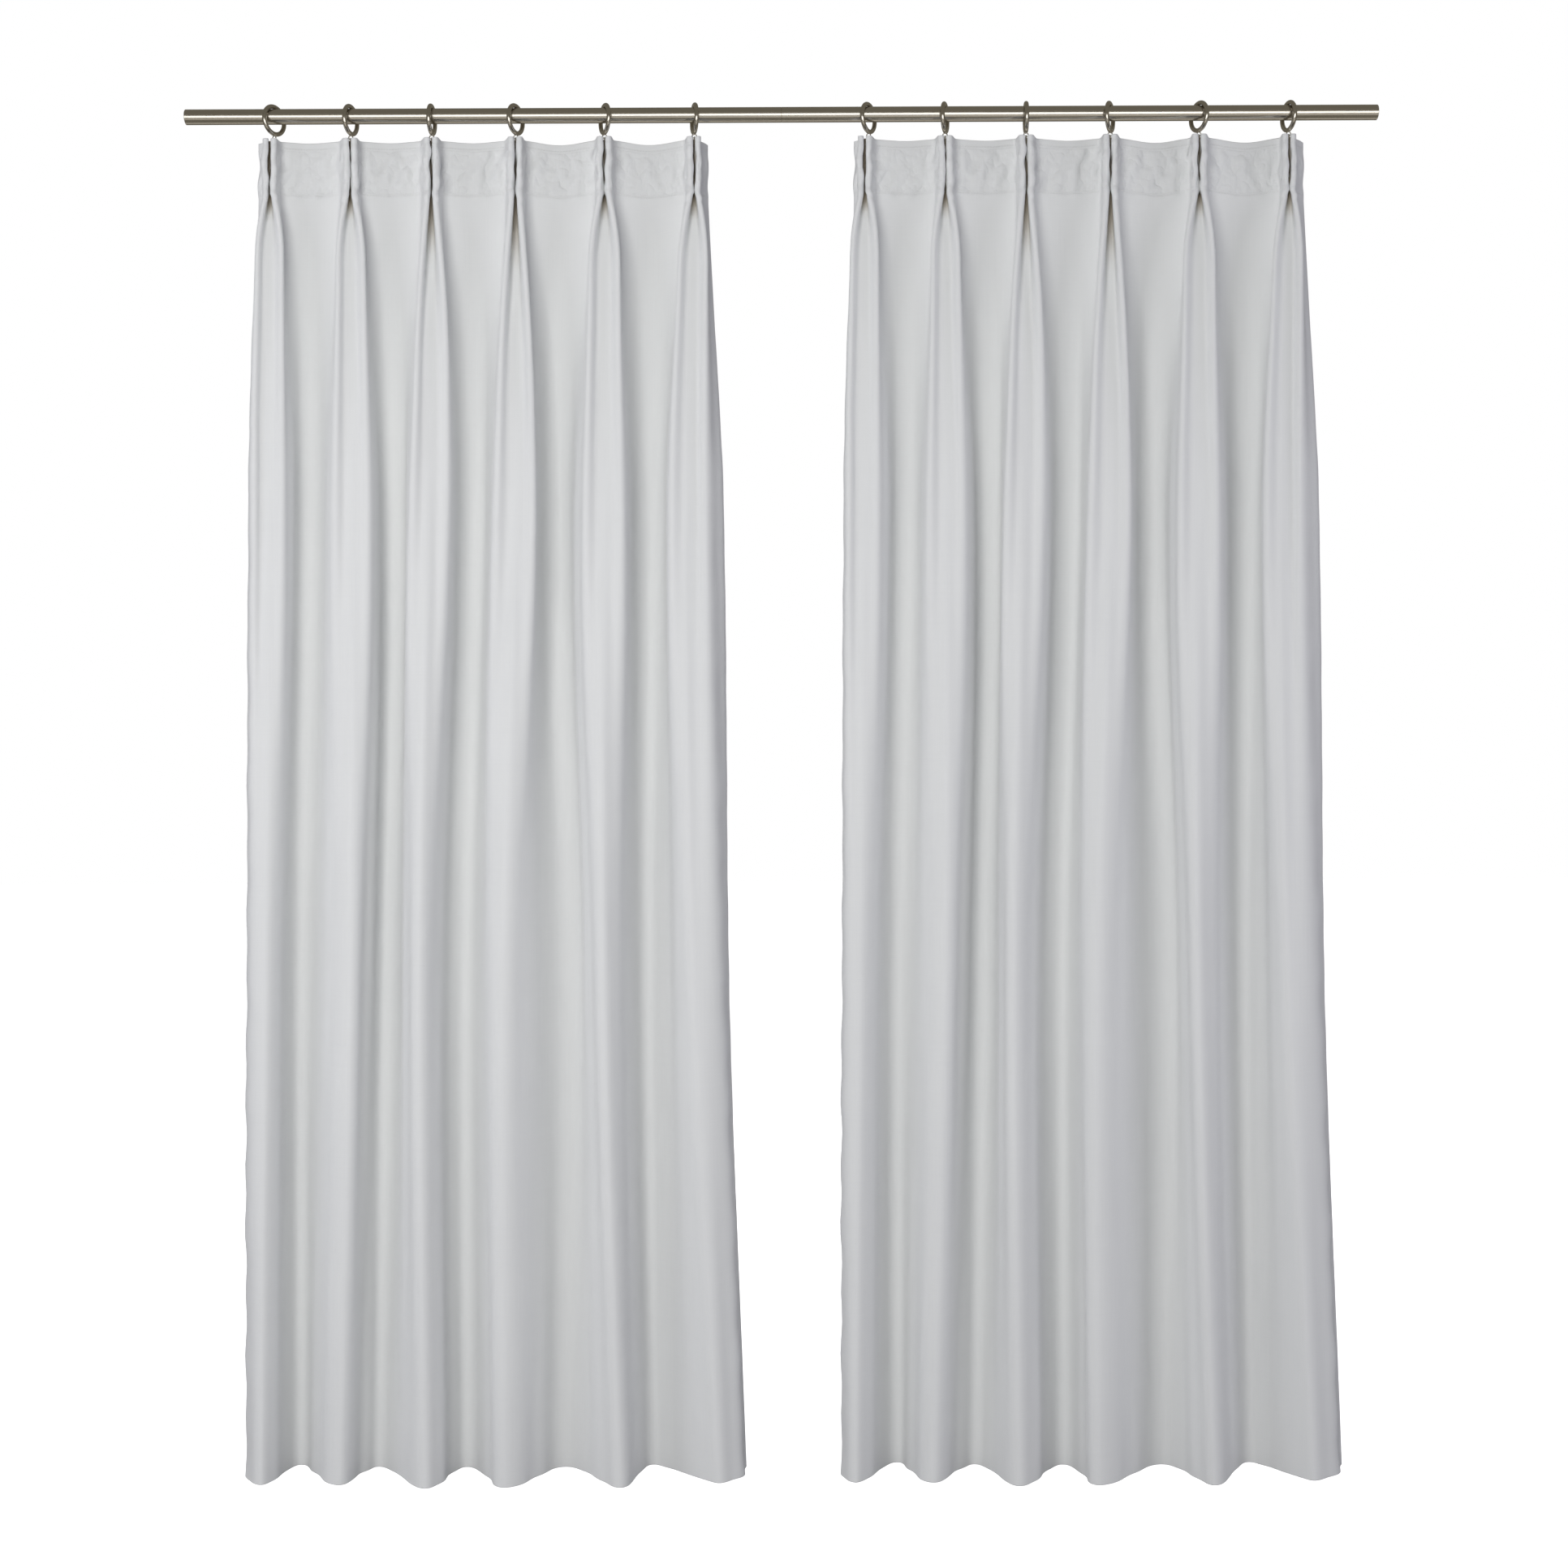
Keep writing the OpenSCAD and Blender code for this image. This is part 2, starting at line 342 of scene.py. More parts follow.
def slice_angles(flat, rows, places):
    """The direction of the cloth at every flat place and every height."""
    below = np.clip(rows - heading, 0, None)[:, None]
    base = sum(wobble(flat, rows, *waves) for waves in WAVINESS)
    for k in range(PLEATS):
        t = flat - marks[2 * k + 1]
        near = np.abs(t) < PLEAT_HALF[k] + 0.02
        turn = pleat_turn(t[None, near], PLEAT_HALF[k], below, OPENINGS[k], tightness[k])
        base[:, near] += PINCH * turn
    hump = wave_share(flat, rows)
    angles = base.copy()
    for i in range(len(marks) - 1):
        inside = (flat >= marks[i]) & (flat < marks[i + 1])
        reach = (places[:, i + 1] - places[:, i])[:, None]
        low = np.zeros((len(rows), 1))
        high = np.full((len(rows), 1), STRONGEST_WAVE)
        for _ in range(HALVINGS):
            strength = (low + high) / 2
            tried = base[:, inside] + strength * hump[:, inside]
            got = np.cos(tried).sum(1, keepdims=True) * STEP
            low = np.where(got > reach, strength, low)
            high = np.where(got > reach, high, strength)
        angles[:, inside] = base[:, inside] + (low + high) / 2 * hump[:, inside]
    return angles


# %% Walk along the angles
HEADING_Y = -0.005
# How far back each pleat's two base lines hang at the hem, in millimetres.
HEM_LEVELS = np.array([5, 8, 4, 4, -6, -8, -8, -7, -3, -4, 0, -5])


def walk(angles, flat, places, rows):
    """Turns the angles into places: x along the rod and y from back to front."""
    x = np.cumsum(np.cos(angles), axis=1) * STEP
    y = np.cumsum(np.sin(angles), axis=1) * STEP
    at = np.clip(np.round(marks / STEP).astype(int), 0, len(flat) - 1)
    crests = np.repeat(marks[1:-1:2], 2)
    halves = np.repeat(PLEAT_HALF, 2) * np.tile([-1, 1], PLEATS)
    bases = np.round((crests + halves) / STEP).astype(int)
    depth = heights_below(rows)[:, None]
    target = HEADING_Y + (HEM_LEVELS[None, :] * MILLIMETRE - HEADING_Y) * rise(depth)
    for row in range(len(rows)):
        x[row] += np.interp(flat, flat[at], places[row] - x[row, at])
        y[row] += np.interp(flat, flat[bases], target[row] - y[row, bases])
    return x, y


def faced(x, y):
    """Turns the folds a little, so that each one faces the middle of the room."""
    return x * (1 + (y - HEADING_Y) / CAMERA_DISTANCE)


# %% [markdown]
# ## The grid of the cloth
# Columns are close together round the pleats, where the cloth bends most, and wide apart between
# them. Rows are closer in the heading. A slight sag between the rings and shallow dents in the
# stiffened heading, puckers on the fingers and a tuck at each finger's seam finish the surface.

# %% Columns, rows and surface
FINGER_OFFSETS = np.array([
    0.0, 0.03, 0.06, 0.11, 0.17, 0.23, 0.29, 0.35, 0.41, 0.47, 0.53, 0.59, 0.66, 0.74, 0.84,
    0.93, 1.0, 1.07,
])
PLEAT_REACH = FINGER_OFFSETS[-1]
SPAN_COLUMNS = 18
FLAP_COLUMNS = 6
EDGE = 0.0015
HEADING_ROWS = 22
LOWER_ROWS = 102
SPAN_SAG = np.array([0.0025, 0.0025, 0.003, 0.0065, 0.0065])
SAG_FADE = 0.5
DENT = 0.0011
PUCKER = 0.0005
HEM_PULL = 0.0012
TUCK_WIDTH = 0.005
DROOP = 0.11
TUCK_ROWS = np.array([0.0015, 0.004, 0.007, 0.010, 0.013, 0.016, 0.020, 0.025, 0.031])


def columns():
    """Flat places of the grid's columns, on the walk's own steps."""
    end = marks[1] - PLEAT_HALF[0] * PLEAT_REACH
    places = [np.linspace(0, end, FLAP_COLUMNS, endpoint=False)]
    for k in range(PLEATS):
        centre = marks[2 * k + 1]
        fingers = FINGER_OFFSETS * PLEAT_HALF[k]
        places.append(centre + np.concatenate([-fingers[::-1], fingers]))
        if k < PLEATS - 1:
            start = centre + PLEAT_HALF[k] * PLEAT_REACH
            end = marks[2 * k + 3] - PLEAT_HALF[k + 1] * PLEAT_REACH
            places.append(np.linspace(start, end, SPAN_COLUMNS + 2)[1:-1])
    start = marks[-2] + PLEAT_HALF[-1] * PLEAT_REACH
    places.append(np.linspace(start, marks[-1], FLAP_COLUMNS + 1)[1:])
    places.append([EDGE, marks[-1] - EDGE])
    return np.unique(np.round(np.concatenate(places) / STEP).astype(int))


def sag(flat):
    """How far the cloth hangs down between two pleats, at each flat place."""
    total = np.zeros(len(flat))
    for k, depth in enumerate(SPAN_SAG):
        start, end = marks[2 * k + 1] + PLEAT_HALF[k], marks[2 * k + 3] - PLEAT_HALF[k + 1]
        inside = (flat > start) & (flat < end)
        total[inside] = depth * np.sin(np.pi * (flat[inside] - start) / (end - start)) ** 1.5
    return total


def dents(flat, rows):
    """Shallow slanting dents in the stiff heading, pressed in or out."""
    s, d = flat[None, :], rows[:, None]
    draw = np.random.default_rng(21)
    total = np.zeros((len(rows), len(flat)))
    for _ in range(12):
        slant = draw.uniform(-160, 160) * d
        total += np.sin(draw.uniform(120, 300) * s + slant + draw.uniform(0, 2 * np.pi))
    within = 1 - ease(rows - heading, 0.02)
    edge = rise((rows - 0.008) / 0.02)
    return DENT * (within * edge)[:, None] * total / 2


def finger_marks(flat, rows):
    """Puckers down the fingers, and a slanting tuck where the seam pinches each of them."""
    s, d = flat[None, :], rows[:, None]
    draw = np.random.default_rng(5)
    total = np.zeros((len(rows), len(flat)))
    within = rise(d / 0.012) * (1 - rise((d - heading + 0.004) / 0.02))
    for k in range(PLEATS):
        for way in (-1, 1):
            out = way * (s - marks[2 * k + 1]) - INNER_SHARE * PLEAT_HALF[k]
            on_finger = np.exp(-(((out - 0.003) / 0.009) ** 2))
            waves = np.sin(draw.uniform(230, 330) * d + draw.uniform(0, 6))
            waves = waves + np.sin(draw.uniform(120, 190) * d + draw.uniform(0, 6))
            total += PUCKER * waves * within * on_finger
            line = d - heading - draw.uniform(0.003, 0.012) - draw.uniform(0.2, 0.8) * out
            tuck = line / TUCK_WIDTH * np.exp(-((line / TUCK_WIDTH) ** 2))
            total += draw.uniform(0.0015, 0.0035) * tuck * on_finger
    return total


def puckers(flat, rows):
    """Small pulls along the sewn side hems."""
    d = rows[:, None]
    pull = np.sin(44 * d + 0.7) * np.sin(17 * d) + 0.5 * np.sin(63 * d + 2)
    near_edge = np.minimum(flat, flat[-1] - flat)[None, :]
    band = np.exp(-((near_edge - 0.03) / 0.018) ** 2)
    return HEM_PULL * pull * band * rise((d - heading) / 0.3)


def curtain_surface(rings):
    """Grid of points of one curtain, its backward normals, and its flat places and depths."""
    flat = np.arange(0, marks[-1] + STEP / 2, STEP)
    upper = np.linspace(0, heading, HEADING_ROWS, endpoint=False)
    lower = heading + (drop - heading) * np.linspace(0, 1, LOWER_ROWS) ** 1.2
    tuck_rows = heading + TUCK_ROWS
    lower = lower[(lower <= heading) | (lower > tuck_rows[-1] + 0.003)]
    rows = np.sort(np.concatenate([upper, lower, tuck_rows, [EDGE, drop - EDGE]]))
    places = fold_places(rings, heights_below(rows))
    x, y = walk(slice_angles(flat, rows, places), flat, places, rows)
    picked = columns()
    fade = 1 - ease(rows - SAG_FADE / 2, SAG_FADE)
    z = top_z - rows[:, None] - fade[:, None] * sag(flat)[picked][None, :]
    x, y = x[:, picked], y[:, picked]
    z += DROOP * fade[:, None] * np.minimum(y - HEADING_Y, 0)
    points = np.stack([faced(x, y), y, z], axis=2)
    flat = flat[picked]
    relief = dents(flat, rows) + puckers(flat, rows) + finger_marks(flat, rows)
    points += relief[:, :, None] * normals_of(points)
    return points, normals_of(points), flat, rows


def normals_of(points):
    """Directions out of the back of the sheet at every grid point."""
    across = np.gradient(points, axis=1)
    down = np.gradient(points, axis=0)
    out = np.cross(across, down)
    return out / np.linalg.norm(out, axis=2, keepdims=True)


surface = {side: curtain_surface(pleat_x[side]) for side in SIDES}
points, _, flat, rows = surface["left"]
print("grid:", points.shape[:2])
for side in SIDES:
    shape = surface[side][0]
    print(side, "from", shape.min((0, 1)).round(3), "to", shape.max((0, 1)).round(3))

# %% [markdown]
# ## Sheets from the grid
# The create_grid operator makes the faces, and each corner is then put in its place on the
# surface. A flat map in metres goes with it, so the weave follows the cloth through every fold.
# Solidify gives the cloth its thickness. The hems and the turned-down heading are strips of the
# same surface, set a little behind it.

# %% Sheet maker
CLOTH_THICKNESS = 0.0009
# How far from a pleat's middle the painted shade between its fingers reaches, and how softly it
# fades.
PAINTED_SHADE_REACH = 0.010
PAINTED_SHADE_BLEND = 0.008


def finished(name, bm):
    """A mesh object at the origin from a bmesh."""
    mesh = bpy.data.meshes.new(name)
    bm.to_mesh(mesh)
    bm.free()
    mesh.shade_smooth()
    obj = bpy.data.objects.new(name, mesh)
    bpy.context.scene.collection.objects.link(obj)
    return obj


def slit_painted_shade(s, d):
    """Share of painted shade: 1 deep between a pleat's two fingers, where little light reaches, and 0
    everywhere else.
    """
    k = int(np.argmin(np.abs(marks[1:-1:2] - s)))
    away = abs(s - marks[2 * k + 1])
    deep = 1 - rise((away - PAINTED_SHADE_REACH) / PAINTED_SHADE_BLEND)
    closed = 1 - rise((d - heading) / (0.4 * OPENINGS[k]))
    return float(deep * closed)


def sheet_from(name, side, row_range, column_range, behind=0.0, thickness=CLOTH_THICKNESS):
    """A sheet over part of a curtain's grid, moved behind it by a distance or a grid of them."""
    points, backward, flat, rows = surface[side]
    shows_front = not np.any(behind)
    part = (row_range, column_range)
    shift = np.broadcast_to(behind, points[part].shape[:2])
    placed = points[part] + backward[part] * shift[:, :, None]
    flat, rows = flat[column_range], rows[row_range]
    bm = bmesh.new()
    nx, ny = len(flat) - 1, len(rows) - 1
    bmesh.ops.create_grid(bm, x_segments=nx, y_segments=ny, size=0.5)
    if len(bm.verts) != (nx + 1) * (ny + 1):
        raise ValueError(f"{name}: the grid has {len(bm.verts)} corners")
    layer = bm.loops.layers.uv.new("flat")
    # Per-corner share of painted shade between the fingers, read by the cloth finish as the slit
    # attribute.
    slit_shade_values = bm.verts.layers.float.new("slit")
    spots = {}
    for v in bm.verts:
        i = round((v.co.x + 0.5) * nx)
        j = round((0.5 - v.co.y) * ny)
        spots[v] = (i, j)
    for v, (i, j) in spots.items():
        v.co = Vector(placed[j, i])
    for face in bm.faces:
        for loop in face.loops:
            i, j = spots[loop.vert]
            loop[layer].uv = (flat[i], rows[j])
    for v, (i, j) in spots.items():
        # The front sheet carries the painted shade between the fingers; the sheets behind get none.
        v[slit_shade_values] = slit_painted_shade(flat[i], rows[j]) if shows_front else 0.0
    obj = finished(name, bm)
    solid = obj.modifiers.new("thickness", "SOLIDIFY")
    solid.thickness = thickness
    solid.offset = 0
    return obj


def edge_taper(distance, full, least=0.45, over=0.006):
    """The gap behind the cloth, closing towards a folded edge."""
    return full * np.clip(least + (1 - least) * distance / over, least, 1)


# %% Make the sheets of both curtains
SIDE_HEM = 0.038
BOTTOM_HEM = 0.100
SEAMS = (0.010, heading - 0.003)
BUCKRAM_THICKNESS = 0.0006
LAYER = 0.001

everything = slice(None)
pieces = {side: [] for side in SIDES}
for side in SIDES:
    points, _, flat, rows = surface[side]
    cloth = sheet_from(f"{side}_curtain", side, everything, everything)
    heading_rows = slice(0, int(np.searchsorted(rows, heading + 1e-6)))
    hem_rows = slice(int(np.searchsorted(rows, drop - BOTTOM_HEM)), len(rows))
    left_columns = slice(0, int(np.searchsorted(flat, SIDE_HEM)) + 1)
    right_columns = slice(int(np.searchsorted(flat, flat[-1] - SIDE_HEM)) - 1, len(flat))
    inner_rows = slice(1, heading_rows.stop - 1)
    inner_columns = slice(2, len(flat) - 2)
    stiffener = sheet_from(
        f"{side}_stiffener", side, inner_rows, inner_columns, LAYER, BUCKRAM_THICKNESS
    )
    left_hem = sheet_from(
        f"{side}_outer_side_hem", side, everything, left_columns,
        edge_taper(flat[left_columns], LAYER)[None, :],
    )
    right_hem = sheet_from(
        f"{side}_inner_side_hem", side, everything, right_columns,
        edge_taper(flat[-1] - flat[right_columns], LAYER)[None, :],
    )
    facing = sheet_from(
        f"{side}_heading_facing", side, heading_rows, everything,
        edge_taper(rows[heading_rows], 2 * LAYER)[:, None],
    )
    bottom_hem = sheet_from(
        f"{side}_bottom_hem", side, hem_rows, everything,
        edge_taper(drop - rows[hem_rows], 2 * LAYER)[:, None],
    )
    pieces[side] = [cloth, stiffener, left_hem, right_hem, facing, bottom_hem]
    print(side, "faces:", [len(o.data.polygons) for o in pieces[side]])

# %% [markdown]
# ## Stitches
# Each stitch is a small stretched ball, sunk partly into the cloth. The heading is sewn through, so
# its two seams show on both faces. The side hems and the bottom hem are sewn blind, which leaves
# their stitches on the back alone.

# %% Stitches
STITCH_LENGTH = 0.0032
STITCH_WIDTH = 0.0007
STITCH_PITCH = 0.0045
HEM_STITCH_PITCH = 0.006
FROM_EDGE = 0.003
HALF_SHEET = CLOTH_THICKNESS / 2
ACROSS, DOWN = 0, 1


def on_surface(side, s, d):
    """A point of the curtain, its directions across and down, and its backward direction."""
    points, backward, flat, rows = surface[side]
    i = min(max(int(np.searchsorted(flat, s)) - 1, 0), len(flat) - 2)
    j = min(max(int(np.searchsorted(rows, d)) - 1, 0), len(rows) - 2)
    u = (s - flat[i]) / (flat[i + 1] - flat[i])
    v = (d - rows[j]) / (rows[j + 1] - rows[j])
    (a, b), (c, e) = points[j:j + 2, i:i + 2]
    top, bottom = a + u * (b - a), c + u * (e - c)
    left, right = a + v * (c - a), b + v * (e - b)
    return top + v * (bottom - top), (right - left, bottom - top), backward[j, i]


def stitch_shape():
    """The corners and faces of one stitch before it is stretched."""
    bm = bmesh.new()
    bmesh.ops.create_uvsphere(bm, u_segments=6, v_segments=4, radius=0.5)
    bm.verts.index_update()
    corners = np.array([v.co for v in bm.verts])
    faces = [[v.index for v in face.verts] for face in bm.faces]
    bm.free()
    return corners, faces


def stitch_places():
    """Flat place, direction and distance behind the middle layer for every stitch."""
    facing_back = 2 * LAYER + HALF_SHEET
    for s in np.arange(0.004, flat_width - FROM_EDGE, STITCH_PITCH):
        for d in SEAMS:
            yield s, d, ACROSS, -HALF_SHEET
            yield s, d, ACROSS, facing_back
        yield s, drop - BOTTOM_HEM + FROM_EDGE, ACROSS, facing_back
    for d in np.arange(heading + FROM_EDGE, drop - BOTTOM_HEM - FROM_EDGE, HEM_STITCH_PITCH):
        for s in (SIDE_HEM - FROM_EDGE, flat_width - SIDE_HEM + FROM_EDGE):
            yield s, d, DOWN, LAYER + HALF_SHEET


def stitches(side):
    """All the stitches of one curtain as one piece."""
    corners, faces = stitch_shape()
    size = (STITCH_LENGTH, STITCH_WIDTH, STITCH_WIDTH)
    all_corners, all_faces = [], []
    for s, d, direction, behind in stitch_places():
        place, ways, back = on_surface(side, s, d)
        along = ways[direction] / np.linalg.norm(ways[direction])
        out = back - along * (along @ back)
        out = out / np.linalg.norm(out)
        turn = np.array([along, np.cross(out, along), out])
        start = len(all_corners) * len(corners)
        all_corners.append((corners * size) @ turn + place + out * behind)
        all_faces += [[start + v for v in face] for face in faces]
    mesh = bpy.data.meshes.new("stitches")
    mesh.from_pydata(np.concatenate(all_corners).tolist(), [], all_faces)
    bm = bmesh.new()
    bm.from_mesh(mesh)
    bpy.data.meshes.remove(mesh)
    return finished(f"{side}_stitches", bm)


for side in SIDES:
    sewn = stitches(side)
    pieces[side].append(sewn)
    print(side, "stitches:", len(sewn.data.polygons), "faces")

# %% [markdown]
# ## A small kit for finishes
# Shader maths reads best as arithmetic. A Value wraps one socket and turns Python's operators into
# Math nodes, and Finish.node makes any other node.


# %% Finish kit
class Value:
    """A number or colour that varies over a surface."""

    def __init__(self, finish, socket):
        self.finish = finish
        self.socket = socket

    def maths(self, operation, *values):
        return self.finish.node("Math", dict(enumerate(values)), operation=operation)

    def __add__(self, other):
        return self.maths("ADD", self, other)

    def __sub__(self, other):
        return self.maths("SUBTRACT", self, other)

    def __mul__(self, other):
        return self.maths("MULTIPLY", self, other)

    def __rsub__(self, other):
        return self.maths("SUBTRACT", other, self)

    __radd__ = __add__
    __rmul__ = __mul__

    def sin(self):
        return self.maths("SINE", self)

    def size(self):
        return self.maths("ABSOLUTE", self)

    def near(self, place, reach):
        """1 within reach of a place and 0 elsewhere."""
        return self.maths("COMPARE", self, place, reach)

    def clipped(self):
        return self.finish.node("Clamp", {0: self})


class Finish:
    """One material, built node by node."""

    def __init__(self, name):
        self.material = bpy.data.materials.new(name)
        self.material.use_nodes = True
        self.tree = self.material.node_tree
        self.tree.nodes.clear()

    def node(self, kind, inputs, output=0, **settings):
        made = self.tree.nodes.new("ShaderNode" + kind)
        for key, value in settings.items():
            setattr(made, key, value)
        for key, value in inputs.items():
            if isinstance(value, Value):
                self.tree.links.new(value.socket, made.inputs[key])
            else:
                made.inputs[key].default_value = value
        return Value(self, made.outputs[output])

    def surface(self, shader):
        end = self.tree.nodes.new("ShaderNodeOutputMaterial")
        self.tree.links.new(shader.socket, end.inputs["Surface"])
        return self.material

    def object_place(self, scale):
        place = self.node("TexCoord", {}, output="Object")
        return self.node("Mapping", {"Vector": place, "Scale": scale})

    def flat_place(self, scale):
        place = self.node("UVMap", {}, uv_map="flat")
        return self.node("Mapping", {"Vector": place, "Scale": scale})

    def flat_axes(self):
        """Metres across the flat cloth and metres down it."""
        place = self.node("SeparateXYZ", {0: self.flat_place((1, 1, 1))})
        return place, Value(self, place.socket.node.outputs[1])

    def noise(self, place, scale, detail=2.0, roughness=0.5):
        made = {"Vector": place, "Scale": scale, "Detail": detail, "Roughness": roughness}
        return self.node("TexNoise", made, output="Fac")

    def mix(self, share, first, second):
        return self.node(
            "Mix", {0: share, 6: first, 7: second}, output=2, data_type="RGBA"
        )

    def bump(self, height, strength, distance):
        return self.node("Bump", {"Height": height, "Strength": strength, "Distance": distance})


# %% [markdown]
# ## Cloth
# A fine plain weave in a cool light grey, with a soft sheen. The threads are a product of two sine
# waves on the flat map. Long thin noise along each direction thickens a thread here and there.
# Deep between two fingers little light arrives, and the slit values paint a warm dark shade there.

# %% Cloth finish
THREAD = 0.0007
CLOTH_LIGHT = (0.79, 0.80, 0.795, 1)
CLOTH_DEEP = (0.70, 0.71, 0.715, 1)
# Warm dark colour painted as the shade deep between a pleat's fingers.
SLIT_PAINTED_SHADE = (0.40, 0.34, 0.25, 1)


def cloth_finish(name, light, deep):
    f = Finish(name)
    across, down = f.flat_axes()
    turns = 2 * math.pi / THREAD
    weave = (across * turns).sin() * (down * turns).sin() * 0.5 + 0.5
    warp = f.noise(f.flat_place((900, 9, 1)), 1.0)
    weft = f.noise(f.flat_place((9, 900, 1)), 1.0)
    slub = warp * 0.6 + weft * 0.4
    cloud = f.noise(f.flat_place((3, 1.5, 1)), 2.0, 3.0)
    tone = (slub * 0.7 + cloud * 0.5 + weave * 0.2 - 0.2).clipped()
    slit = f.node("Attribute", {}, output="Fac", attribute_name="slit")
    # The slit attribute mixes in the painted warm shade between the fingers.
    colour = f.mix(slit * 0.9, f.mix(tone, deep, light), SLIT_PAINTED_SHADE)
    seam = sum(down.near(place, 0.0006) for place in SEAMS)
    crease = (f.noise(f.flat_place((34, 26, 1)), 1.0, 2.5) - 0.5).size() * 2
    crease = crease * down.near(0.048, 0.034)
    pulls = f.noise(f.flat_place((16, 5, 1)), 1.0, 2.0)
    height = weave * 0.00006 + slub * 0.0001 - seam * 0.0003 + crease * 0.005 + pulls * 0.001
    shader = f.node("BsdfPrincipled", {
        "Base Color": colour,
        "Roughness": 0.78 - slub * 0.12,
        "Specular IOR Level": 0.3,
        "Sheen Weight": 0.25,
        "Sheen Roughness": 0.4,
        "Normal": f.bump(height, 1.0, 1.0),
    })
    return f.surface(shader)


cloth_material = cloth_finish("curtain_cloth", CLOTH_LIGHT, CLOTH_DEEP)
print("cloth nodes:", len(cloth_material.node_tree.nodes))

# %% Buckram finish
BUCKRAM_MESH = 0.0012


def buckram_finish():
    f = Finish("buckram")
    across, down = f.flat_axes()
    turns = 2 * math.pi / BUCKRAM_MESH
    open_weave = (across * turns).sin() * 0.5 + (down * turns).sin() * 0.5
    fibres = f.noise(f.flat_place((400, 400, 1)), 1.0, 3.0)
    tone = (open_weave * 0.4 + fibres * 0.6).clipped()
    shader = f.node("BsdfPrincipled", {
        "Base Color": f.mix(tone, (0.74, 0.72, 0.66, 1), (0.88, 0.86, 0.8, 1)),
        "Roughness": 0.85 - fibres * 0.1,
        "Normal": f.bump(open_weave, 0.5, 0.0003),
    })
    return f.surface(shader)


buckram_material = buckram_finish()


# %% Thread finish
def thread_finish():
    f = Finish("sewing_thread")
    fibres = f.noise(f.object_place((900, 900, 900)), 1.0, 3.0)
    shader = f.node("BsdfPrincipled", {
        "Base Color": f.mix(fibres, (0.7, 0.71, 0.71, 1), (0.84, 0.85, 0.845, 1)),
        "Roughness": 0.7 - fibres * 0.15,
        "Sheen Weight": 0.2,
        "Normal": f.bump(fibres, 0.4, 0.0001),
    })
    return f.surface(shader)


thread_material = thread_finish()

# %% [markdown]
# ## Metal
# The rod and the rings are satin nickel: a metal with a warm grey colour, brushed along the tube.
# The hooks are bright zinc-plated wire.


# %% Metal finishes
def metal_finish(name, light, dark, rough, grain, depth):
    f = Finish(name)
    streak = f.noise(f.object_place(grain), 1.0, 4.0, 0.6)
    smudge = f.noise(f.object_place((9, 9, 9)), 1.0, 3.0)
    shader = f.node("BsdfPrincipled", {
        "Base Color": f.mix((streak * 0.6 + smudge * 0.5).clipped(), dark, light),
        "Metallic": 1.0,
        "Roughness": rough + streak * 0.06 + smudge * 0.05,
        "Normal": f.bump(streak, 0.25, depth),
    })
    return f.surface(shader)


rod_material = metal_finish(
    "rod_metal", (0.62, 0.59, 0.54, 1), (0.5, 0.47, 0.42, 1), 0.16, (6, 900, 900), 0.00005
)
ring_material = metal_finish(
    "ring_metal", (0.6, 0.57, 0.52, 1), (0.48, 0.45, 0.4, 1), 0.14, (300, 300, 300), 0.00003
)
hook_material = metal_finish(
    "hook_steel", (0.66, 0.65, 0.62, 1), (0.52, 0.51, 0.48, 1), 0.2, (500, 500, 60), 0.00003
)
joiner_material = metal_finish(
    "joiner_steel", (0.5, 0.49, 0.46, 1), (0.38, 0.37, 0.35, 1), 0.3, (12, 500, 500), 0.00005
)

# %% Put the finishes on
def paint(obj, material):
    obj.data.materials.clear()
    obj.data.materials.append(material)


metals = {"rod_tube": rod_material, "rod_joiner": joiner_material, "ring": ring_material,
          "hook": hook_material}
for name, obj in frame["nodes"].items():
    for word, material in metals.items():
        if word in name:
            paint(obj, material)
for obj in pieces["left"] + pieces["right"]:
    if "stiffener" in obj.name:
        paint(obj, buckram_material)
    elif "stitches" in obj.name:
        paint(obj, thread_material)
    else:
        paint(obj, cloth_material)

# %% [markdown]
# ## Tie the cloth to the model
# Each curtain rides on its own body, which holds the outermost ring. The share of its width that the
# cloth would keep when the other rings gather towards that ring is worked out and printed; the cloth
# itself is not pressed together.

# %% Ride and gather
joints = {j["name"]: j for j in frame["joints"]}
for side in SIDES:
    rings = ring_x[side]
    anchor, lead = (rings[0], rings[-1]) if side == "left" else (rings[-1], rings[0])
    travel = max(joints[f"{side}_gather"]["range_m"])
    keep = 1 - travel / abs(lead - anchor)
    for obj in pieces[side]:
        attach(obj, f"{side}_curtain")
        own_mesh(obj)
    cloth, stiffener = pieces[side][:2]
    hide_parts(f"{side}_curtain_cloth")
    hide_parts(f"{side}_heading_buckram")
    print(side, "keeps", round(float(keep), 3), "of its width when gathered")

# %% [markdown]
# ## Room and light
# A pale floor and a white room. Four softboxes light the cloth: one in front and a little to the
# left, one at each side and one behind. Three strips are seen only in the metal, and the widest
# gives the rod its bright band. A dim warm surround keeps the rest of the metal dark, as polished
# metal is in a real room.

# %% Floor
FLOOR_Z = float(cloth_low.z) - 0.12
bm = bmesh.new()
bmesh.ops.create_grid(bm, x_segments=1, y_segments=1, size=14)
bmesh.ops.translate(bm, verts=bm.verts, vec=(0, 0, FLOOR_Z))
floor = finished("floor", bm)
floor_finish = Finish("floor")
paint(floor, floor_finish.surface(floor_finish.node("BsdfPrincipled", {
    "Base Color": (0.9, 0.9, 0.9, 1),
    "Roughness": 0.9,
    "Emission Color": (1, 1, 1, 1),
    "Emission Strength": 0.92,
})))
floor.visible_glossy = False
floor.visible_diffuse = False

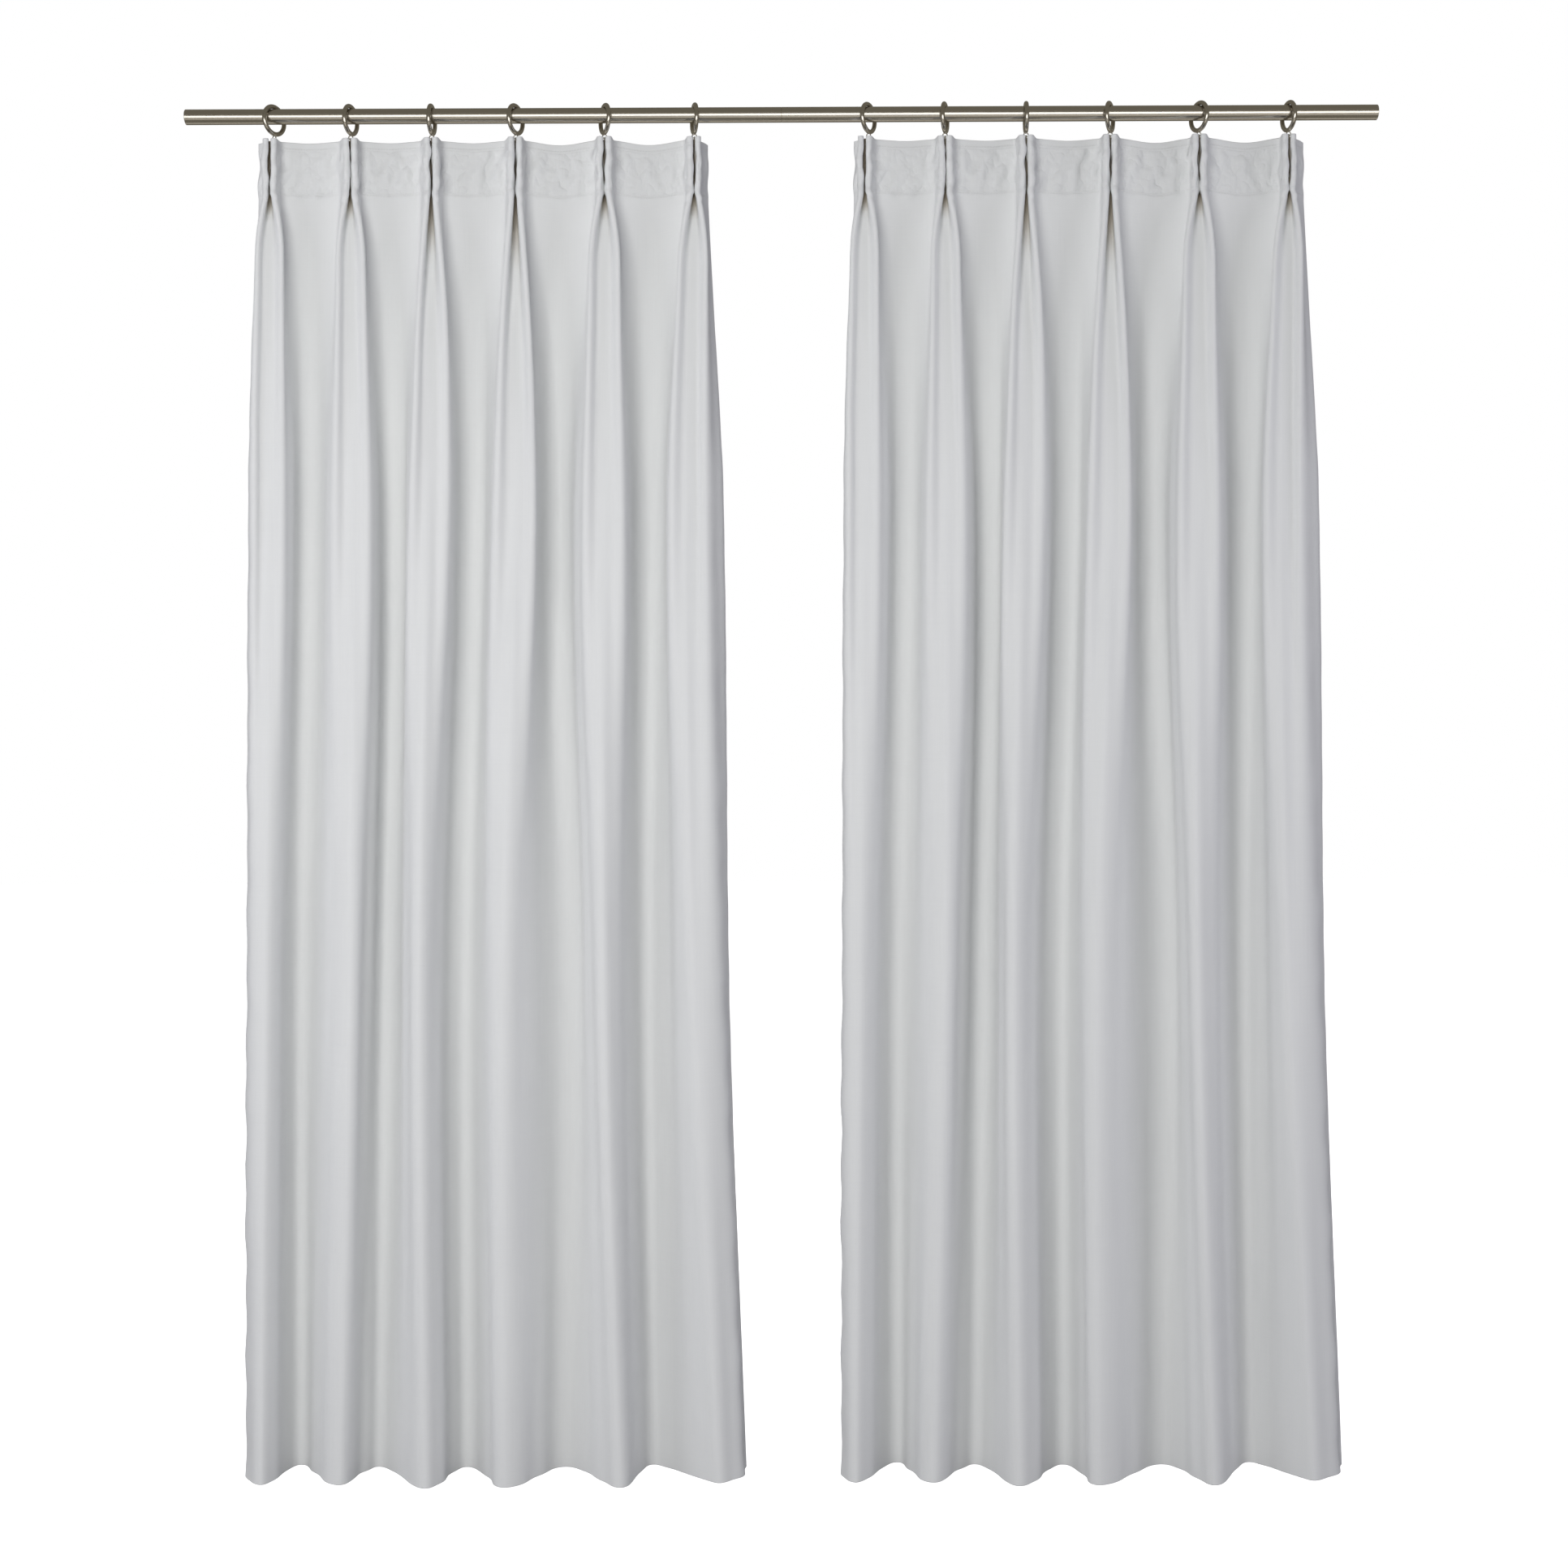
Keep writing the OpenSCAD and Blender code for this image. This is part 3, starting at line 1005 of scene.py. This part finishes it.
# %% Lights
def softbox(name, place, target, width, height, power, colour=(1, 1, 1), only=None):
    """An area light; only can be "diffuse" for cloth or "glossy" for a reflection in metal."""
    data = bpy.data.lights.new(name, "AREA")
    data.shape = "RECTANGLE"
    data.size = width
    data.size_y = height
    data.energy = power
    data.color = colour
    lamp = bpy.data.objects.new(name, data)
    lamp.location = place
    lamp.rotation_euler = (Vector(target) - Vector(place)).to_track_quat("-Z", "Y").to_euler()
    if only:
        lamp.visible_diffuse = only == "diffuse"
        lamp.visible_glossy = only == "glossy"
    bpy.context.scene.collection.objects.link(lamp)


softbox("key", (-0.9, -3.5, -0.55), (0, 0, -1.15), 1.8, 1.6, 83, (1, 0.995, 0.975), "diffuse")
softbox("left_side", (-3.2, -1.6, -0.9), (0, 0, -1.1), 1.6, 2.4, 24, (0.93, 0.93, 1), "diffuse")
softbox("right_side", (3.2, -1.6, -0.9), (0, 0, -1.1), 1.6, 2.4, 28, (0.93, 0.92, 1), "diffuse")
softbox("behind", (0, 3.4, -0.9), (0, 0, -1.1), 3.0, 2.0, 70, (1, 1, 1), "diffuse")
softbox("strip", (0, -3.2, -0.65), (0, 0, -0.65), 5.0, 1.45, 52, (1, 1, 1), "glossy")
softbox("low_strip", (0, -2.6, -2.6), (0, 0, -2.2), 5.0, 1.8, 13, (1, 0.96, 0.9), "glossy")
softbox("back_strip", (0, 1.2, -2.1), (0, 0.4, 0), 5.0, 0.8, 6, (1, 0.96, 0.9), "glossy")

WORLD_WHITE = (1, 1, 1, 1)
WORLD_SOFT = (0.16, 0.16, 0.175, 1)
WORLD_IN_METAL = (0.2, 0.185, 0.15, 1)

world = bpy.data.worlds.new("room")
world.use_nodes = True
tree = world.node_tree
tree.nodes.clear()
seen = tree.nodes.new("ShaderNodeLightPath")
end = tree.nodes.new("ShaderNodeOutputWorld")
shades = []
for colour in (WORLD_SOFT, WORLD_IN_METAL, WORLD_WHITE):
    shade = tree.nodes.new("ShaderNodeBackground")
    shade.inputs["Color"].default_value = colour
    shades.append(shade.outputs[0])
mixed = shades[0]
for ray, shade in (("Is Glossy Ray", shades[1]), ("Is Camera Ray", shades[2])):
    mix = tree.nodes.new("ShaderNodeMixShader")
    tree.links.new(seen.outputs[ray], mix.inputs[0])
    tree.links.new(mixed, mix.inputs[1])
    tree.links.new(shade, mix.inputs[2])
    mixed = mix.outputs[0]
tree.links.new(mixed, end.inputs["Surface"])
bpy.context.scene.world = world
bpy.context.scene.view_settings.view_transform = "Standard"
